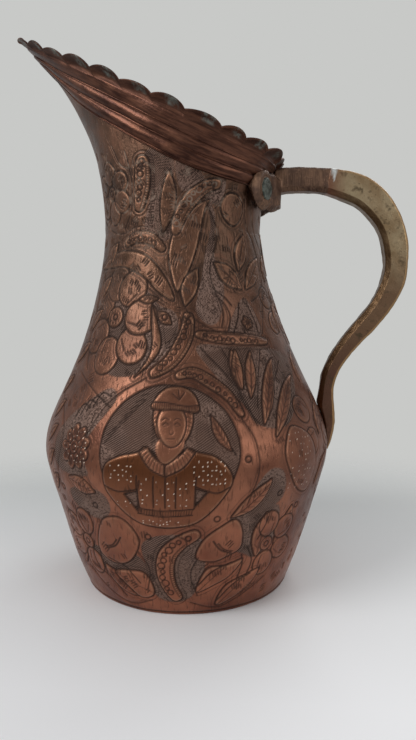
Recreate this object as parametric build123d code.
from build123d import *
import os
from bisect import bisect_left
from math import cos, degrees, hypot, pi, radians, sin

# Chased copper ewer with a beak spout, a scalloped rim and a riveted S-shaped handle.
# Millimetres, +Z up. The origin is the centre of the flat underside.
# The handle stands on the +X side and the spout points to -X.

# Sheet metal
WALL = 1.4
BASE_THICKNESS = 1.5
SEAM_GAP = 0.05

# Pear-shaped body: (height, outer radius) from the foot up to the waist of the neck
BODY_PROFILE = [
    (0, 57.4), (14, 62.6), (30, 67.6), (44, 71.6), (60, 76.0), (70, 78.4), (78, 79.0), (88, 77.0),
    (100, 72.2), (114, 65.6), (128, 59.2), (144, 53.0), (160, 48.2), (174, 45.0), (190, 42.8),
]
NECK_HEIGHT = 190.0
NECK_LEAN = 2.2
LEAN_START = 105.0

# Mouth: seen from above it is an egg drawn out to the spout
MOUTH_BACK_X = 49.0
MOUTH_TIP_X = -89.5
MOUTH_WIDEST_X = 5.0
MOUTH_HALF_WIDTH = 46.0
SPOUT_BLUNTNESS = 0.38
RIM_BACK_HEIGHT = 227.0
RIM_TIP_HEIGHT = 295.5
RIM_SAG = 6.0
FLARE_POWER = 2.4

# Reeded band below the rim: (degrees from the handle, height of the band)
BAND_PROFILE = [
    (0, 15.0), (45, 15.5), (70, 18.0), (90, 21.5), (115, 26.5), (140, 30.0), (155, 27.0), (170, 17.0), (180, 12.0),
]
RIDGE_COUNT = 3
RIDGE_HEIGHT = 1.3
LINES_PER_RIDGE = 4
RIM_ROOT_SHARE = 0.14

# Scalloped lip: the lobes grow from the back to the spout
LOBES_PER_SIDE = 12
LOBE_GROWTH = 0.32
POINTS_PER_LOBE = 4
LIP_FLARE = 2.6
LOBE_FLARE = 1.8
LOBE_RISE = 2.4

# Saddle that hugs the back of the neck with one round pad on each side of the bar
PAD_ANGLE = 25.0
PAD_RADIUS = 10.5
PAD_FACE_REACH = 51.0
PAD_ROOT_REACH = 38.0
PAD_BEVEL = 2.6
SADDLE_Z = 211.7
SADDLE_HEIGHT = 19.0
SADDLE_BACK_X = 52.0
SADDLE_BEVEL = 2.5

# Rivets: the heads outside are low domes, the inner ends are hammered over burrs
SADDLE_RIVET_RADIUS = 2.5
SADDLE_HEAD_RADIUS = 5.6
SADDLE_BURR_REACH = 41.6
FOOT_RIVET_RADIUS = 1.8
FOOT_RIVET_HEIGHTS = (86.0, 95.0)
FOOT_RIVET_DEPTH = 3.0
HEAD_HEIGHT = 1.3
BURR_THICKNESS = 1.0
BURR_MARGIN = 2.2
BURR_GAP = 0.5
RIVET_CLEARANCE = 0.05

# Bar stations from the neck round to the foot: outer x, outer z, inner x, inner z, width
STUB_STATIONS = [
    (46.0, 225.2, 46.0, 212.0, 12.5),
    (56.0, 226.2, 56.0, 213.6, 12.5),
    (66.0, 226.2, 66.0, 213.8, 12.0),
    (79.0, 225.2, 77.0, 212.4, 12.0),
]
BAR_STATIONS = [
    (79.0, 225.2, 77.0, 212.4, 12.0),
    (91.0, 222.9, 85.4, 209.2, 12.4),
    (101.6, 217.8, 92.9, 205.6, 12.8),
    (110.5, 208.9, 99.6, 199.3, 13.0),
    (116.6, 198.0, 104.3, 192.6, 13.0),
    (119.8, 185.0, 107.4, 183.2, 13.0),
    (120.0, 171.2, 108.3, 172.8, 12.6),
    (117.3, 160.0, 106.1, 163.2, 12.0),
    (111.1, 149.0, 101.8, 154.1, 11.4),
    (103.2, 138.7, 95.0, 145.2, 10.8),
    (95.2, 130.1, 87.2, 135.3, 10.2),
    (88.6, 121.9, 80.5, 125.4, 9.8),
    (84.1, 113.8, 76.1, 115.4, 9.6),
    (82.2, 105.4, 74.5, 105.8, 9.6),
    (82.9, 96.0, 73.4, 96.0, 9.8),
    (83.1, 87.0, 76.0, 87.0, 10.0),
    (81.9, 78.0, 77.8, 78.0, 7.5),
    (79.9, 71.5, 78.0, 71.5, 3.0),
]
OUTER_CHAMFER = 1.3
INNER_CHAMFER = 2.6

# Spacing of the rings that the sheet walls are ruled between
BODY_RING_STEP = 12.0
NECK_RINGS = 7


def smooth(points, place):
    """Smooth curve through a few (place, value) points."""
    places = [p[0] for p in points]
    values = [p[1] for p in points]
    last = len(points) - 1
    i = min(max(bisect_left(places, place), 1), last)
    slopes = []
    for k in (i - 1, i):
        a = max(k - 1, 0)
        b = min(k + 1, last)
        slopes.append((values[b] - values[a]) / (places[b] - places[a]))
    step = places[i] - places[i - 1]
    t = (place - places[i - 1]) / step
    rise = 3 * t**2 - 2 * t**3
    bend = step * (slopes[0] * (t**3 - 2 * t**2 + t) + slopes[1] * (t**3 - t**2))
    return values[i - 1] * (1 - rise) + values[i] * rise + bend


def body_radius(height):
    return smooth(BODY_PROFILE, height)


def rim_point(angle):
    """The mouth's edge before it is scalloped; angle 0 is the handle's side, pi the spout."""
    c = cos(angle)
    s = sin(angle)
    reach = (MOUTH_BACK_X - MOUTH_TIP_X) / 2
    middle = (MOUTH_BACK_X + MOUTH_TIP_X) / 2
    draw = (MOUTH_WIDEST_X - middle) / 2
    x = middle + draw + reach * c - draw * cos(2 * angle)
    narrow = 1.0
    if c < 0:
        narrow = SPOUT_BLUNTNESS + (1 - SPOUT_BLUNTNESS) * abs(s) ** 1.2
    y = MOUTH_HALF_WIDTH * s * narrow
    share = (MOUTH_BACK_X - x) / (MOUTH_BACK_X - MOUTH_TIP_X)
    z = RIM_BACK_HEIGHT + (RIM_TIP_HEIGHT - RIM_BACK_HEIGHT) * share - RIM_SAG * s * s
    return x, y, z


def neck_point(angle):
    r = BODY_PROFILE[-1][1]
    return r * cos(angle) - NECK_LEAN, r * sin(angle)


def wall_at(angle, level):
    """The outer wall between the waist of the neck (level 0) and the rim (level 1)."""
    x0, y0 = neck_point(angle)
    x1, y1, z1 = rim_point(angle)
    spread = max(level, 0.0) ** FLARE_POWER
    return x0 + (x1 - x0) * spread, y0 + (y1 - y0) * spread, NECK_HEIGHT + (z1 - NECK_HEIGHT) * level


def wall_point(angle, level, outward=0.0, rise=0.0):
    """A point of the upper wall, moved outward square to the wall seen from above."""
    x, y, z = wall_at(angle, level)
    xa, ya, _ = wall_at(angle - 0.002, level)
    xb, yb, _ = wall_at(angle + 0.002, level)
    length = hypot(xb - xa, yb - ya)
    return Vector(x + outward * (yb - ya) / length, y - outward * (xb - xa) / length, z + rise)


def rim_angles():
    """Angles of the scallops' points, from the handle's side round the spout and back."""
    fine = 2000
    marks = [0.0]
    before = rim_point(0)
    for i in range(1, fine + 1):
        here = rim_point(pi * i / fine)
        marks.append(marks[-1] + hypot(here[0] - before[0], here[1] - before[1], here[2] - before[2]))
        before = here
    count = LOBES_PER_SIDE * POINTS_PER_LOBE
    half = []
    for k in range(count + 1):
        u = k / count
        goal = marks[-1] * u * (1 - LOBE_GROWTH + LOBE_GROWTH * u)
        i = max(bisect_left(marks, goal), 1)
        part = (goal - marks[i - 1]) / (marks[i] - marks[i - 1])
        half.append(pi * (i - 1 + part) / fine)
    return half + [2 * pi - a for a in half[-2:0:-1]]


ANGLES = rim_angles()
WALL_ANGLES = ANGLES[::POINTS_PER_LOBE]


def closed_curve(points):
    return Edge.make_spline(points, periodic=True)


def drop_level(angle, drop):
    """The level that lies a given drop below the rim."""
    return 1 - drop / (rim_point(angle)[2] - NECK_HEIGHT)


def band_height(angle):
    turn = degrees(angle) % 360
    return smooth(BAND_PROFILE, min(turn, 360 - turn))


def band_level(angle, share):
    """Level in the band: share 0 is its lower edge, share 1 the root of the lip."""
    top = RIM_ROOT_SHARE * band_height(angle)
    return drop_level(angle, band_height(angle) + (top - band_height(angle)) * share)


def body_curve(height, inset):
    """Horizontal ring round the body below the waist of the neck."""
    r = body_radius(height) - inset
    lean = NECK_LEAN * max(height - LEAN_START, 0) / (NECK_HEIGHT - LEAN_START)
    return closed_curve([Vector(r * cos(a) - lean, r * sin(a), height) for a in WALL_ANGLES])


def neck_curve(share, inset):
    """Ring between the waist of the neck (share 0) and the band's lower edge (share 1)."""
    return closed_curve([wall_point(a, band_level(a, 0) * share, -inset) for a in WALL_ANGLES])


def ruled_ring(curves):
    """Closed ring solid: each closed curve is joined to the next, and the last to the first."""
    faces = [Face.make_surface_from_curves(a, b) for a, b in zip(curves, curves[1:] + curves[:1])]
    return Solid(Shell(faces))


def radial_plane(angle, reach, height):
    """Plane square to the neck's radius at an angle, with its normal pointing outward."""
    a = radians(angle)
    place = (reach * cos(a) - NECK_LEAN, reach * sin(a), height)
    return Plane(origin=place, z_dir=(cos(a), sin(a), 0))


def belly_plane(height):
    """Plane square to the belly's wall on the handle's side, with its normal pointing outward."""
    lean_out = body_radius(height - 1) - body_radius(height + 1)
    lean = NECK_LEAN * max(height - LEAN_START, 0) / (NECK_HEIGHT - LEAN_START)
    return Plane(origin=(body_radius(height) - lean, 0, height), z_dir=(2, 0, lean_out))


SADDLE_PLANES = [radial_plane(side * PAD_ANGLE, 0, SADDLE_Z) for side in (-1, 1)]
FOOT_PLANES = [belly_plane(height) for height in FOOT_RIVET_HEIGHTS]


def rod(plane, start, end, radius):
    """Round bar along a plane's normal, from one distance to another."""
    low = (Align.CENTER, Align.CENTER, Align.MIN)
    return plane.offset(start) * Cylinder(radius, end - start, align=low)


def dome(plane, start, radius, height):
    """Low domed head that stands on a plane's normal; a negative height points backward."""
    ball = (radius**2 + height**2) / (2 * abs(height))
    side = 1 if height > 0 else -1
    sphere = plane.offset(start + height - side * ball) * Sphere(ball)
    return sphere & rod(plane, min(start, start + height), max(start, start + height), radius)


def drill(shape, planes, start, end, radius):
    for plane in planes:
        shape = shape - rod(plane, start, end, radius + RIVET_CLEARANCE)
    return shape


def body_shell():
    """Body and neck, raised from one sheet and open at both ends."""
    steps = round(NECK_HEIGHT / BODY_RING_STEP)
    heights = [NECK_HEIGHT * k / steps for k in range(steps)]
    sides = []
    for inset in (0.0, WALL):
        rings = [body_curve(h, inset) for h in heights]
        rings += [neck_curve(k / NECK_RINGS, inset) for k in range(NECK_RINGS + 1)]
        sides.append(rings)
    shell = ruled_ring(sides[0] + sides[1][::-1])
    shell = drill(shell, SADDLE_PLANES, 30, 60, SADDLE_RIVET_RADIUS)
    return drill(shell, FOOT_PLANES, -5, 5, FOOT_RIVET_RADIUS)


def base_disc():
    """Flat bottom let into the foot of the body; its edge follows the wall."""
    low = body_radius(0) - WALL - SEAM_GAP
    high = body_radius(BASE_THICKNESS) - WALL - SEAM_GAP
    return Cone(low, high, BASE_THICKNESS, align=(Align.CENTER, Align.CENTER, Align.MIN))


def lobe(index):
    """Height of the scallops at a point of the rim, from 0 in a notch to 1 on a crest."""
    return abs(sin(pi * index / POINTS_PER_LOBE)) ** 0.8


def mouth_collar():
    """Reeded band and scalloped lip, raised as one collar and soldered on the neck."""
    lines = RIDGE_COUNT * LINES_PER_RIDGE
    sides = []
    for inset in (0.0, WALL):
        curves = []
        for k in range(lines + 1):
            share = k / lines
            swell = RIDGE_HEIGHT * abs(sin(pi * RIDGE_COUNT * share)) - inset
            curves.append(closed_curve([wall_point(a, band_level(a, share), swell) for a in WALL_ANGLES]))
        lip = []
        for i, a in enumerate(ANGLES):
            flare = LIP_FLARE + LOBE_FLARE * lobe(i) - inset
            lip.append(wall_point(a, 1, flare, LOBE_RISE * lobe(i)))
        curves.append(closed_curve(lip))
        sides.append(curves)
    collar = ruled_ring(sides[0] + sides[1][::-1])
    return drill(collar, SADDLE_PLANES, 30, 60, SADDLE_RIVET_RADIUS)


def bar_section(xo, zo, xi, zi, width):
    """Eight-sided section of the bar between an outer and an inner point."""
    outer = Vector(xo, 0, zo)
    across = Vector(xi, 0, zi) - outer
    thick = across.length
    across = across.normalized()
    side = Vector(0, 1, 0)
    co = min(OUTER_CHAMFER, 0.3 * thick, 0.3 * width)
    ci = min(INNER_CHAMFER, 0.3 * thick, 0.3 * width)
    half = width / 2
    corners = [
        (0, half - co), (co, half), (thick - ci, half), (thick, half - ci),
        (thick, ci - half), (thick - ci, -half), (co, -half), (0, co - half),
    ]
    return Wire.make_polygon([outer + across * d + side * w for d, w in corners], close=True)


def bar_loft(stations):
    return Solid.make_loft([bar_section(*station) for station in stations])


def neck_core(outset):
    """Solid filling of the upper neck, used to cut what fits against it."""
    rings = []
    for z in range(194, 228, 4):
        points = []
        for a in WALL_ANGLES:
            level = (z - NECK_HEIGHT) / (rim_point(a)[2] - NECK_HEIGHT)
            points.append(wall_point(a, level, outset))
        rings.append(closed_curve(points))
    return Solid.make_loft([Wire([ring]) for ring in rings], ruled=True)


def belly_core(outset):
    """Solid filling of the belly behind the handle's foot."""
    rings = [body_curve(h, -outset) for h in range(56, 124, 4)]
    return Solid.make_loft([Wire([ring]) for ring in rings], ruled=True)


def handle_saddle():
    """Copper saddle with two pads and the stub that the brass bar is brazed to."""
    pad_x = PAD_FACE_REACH * cos(radians(PAD_ANGLE)) - NECK_LEAN
    pad_y = PAD_FACE_REACH * sin(radians(PAD_ANGLE))
    bar_y = STUB_STATIONS[0][-1] / 2
    outline = [(pad_x - 1, pad_y - 2), (SADDLE_BACK_X, bar_y), (SADDLE_BACK_X, -bar_y), (pad_x - 1, 2 - pad_y)]
    root_x = PAD_ROOT_REACH - NECK_LEAN
    outline = [(root_x, pad_y - 2)] + outline + [(root_x, 2 - pad_y)]
    foot = Plane.XY.offset(SADDLE_Z - SADDLE_HEIGHT / 2)
    block = extrude(foot * make_face(Polyline(*outline, close=True)), SADDLE_HEIGHT)
    edges = block.edges().filter_by(Axis.Z, reverse=True)
    block = chamfer([e for e in edges if e.center().X > pad_x - 1], SADDLE_BEVEL)
    saddle = block + bar_loft(STUB_STATIONS)
    for plane in SADDLE_PLANES:
        pad = rod(plane, PAD_ROOT_REACH, PAD_FACE_REACH, PAD_RADIUS)
        rim = pad.edges().filter_by(GeomType.CIRCLE).sort_by(lambda e: e.center().dot(plane.z_dir))[-1]
        saddle = saddle + chamfer(rim, PAD_BEVEL)
    saddle = saddle - neck_core(RIDGE_HEIGHT + SEAM_GAP)
    return drill(saddle, SADDLE_PLANES, 30, 60, SADDLE_RIVET_RADIUS)


def handle_bar():
    """Cast brass bar with chamfered edges; its foot lies along the belly."""
    bar = bar_loft(BAR_STATIONS) - belly_core(SEAM_GAP)
    return drill(bar, FOOT_PLANES, -5, FOOT_RIVET_DEPTH, FOOT_RIVET_RADIUS)


def rivet(plane, tail, end, radius):
    """Shank with its inner end hammered over into a low dome."""
    return rod(plane, tail, end, radius) + dome(plane, tail, radius + BURR_MARGIN / 2, -HEAD_HEIGHT)


def burr(plane, outer_face, radius):
    """Flat ring that the inner end of a rivet is hammered over."""
    ring = rod(plane, outer_face - BURR_THICKNESS, outer_face, radius + BURR_MARGIN)
    return ring - rod(plane, outer_face - BURR_THICKNESS, outer_face, radius + RIVET_CLEARANCE)


def saddle_rivets():
    tail = SADDLE_BURR_REACH - BURR_THICKNESS
    made = []
    for plane in SADDLE_PLANES:
        shank = rivet(plane, tail, PAD_FACE_REACH, SADDLE_RIVET_RADIUS)
        made.append(shank + dome(plane, PAD_FACE_REACH, SADDLE_HEAD_RADIUS, HEAD_HEIGHT))
    return Compound(children=made)


def saddle_burrs():
    return Compound(children=[burr(p, SADDLE_BURR_REACH, SADDLE_RIVET_RADIUS) for p in SADDLE_PLANES])


def foot_rivets():
    face = -WALL - BURR_GAP
    tail = face - BURR_THICKNESS
    return Compound(children=[rivet(p, tail, FOOT_RIVET_DEPTH, FOOT_RIVET_RADIUS) for p in FOOT_PLANES])


def foot_burrs():
    face = -WALL - BURR_GAP
    return Compound(children=[burr(p, face, FOOT_RIVET_RADIUS) for p in FOOT_PLANES])


PIECES = (
    body_shell, base_disc, mouth_collar, handle_saddle, handle_bar,
    saddle_rivets, saddle_burrs, foot_rivets, foot_burrs,
)
os.makedirs("parts", exist_ok=True)
for piece in PIECES:
    export_step(piece(), f"parts/{piece.__name__}.step")
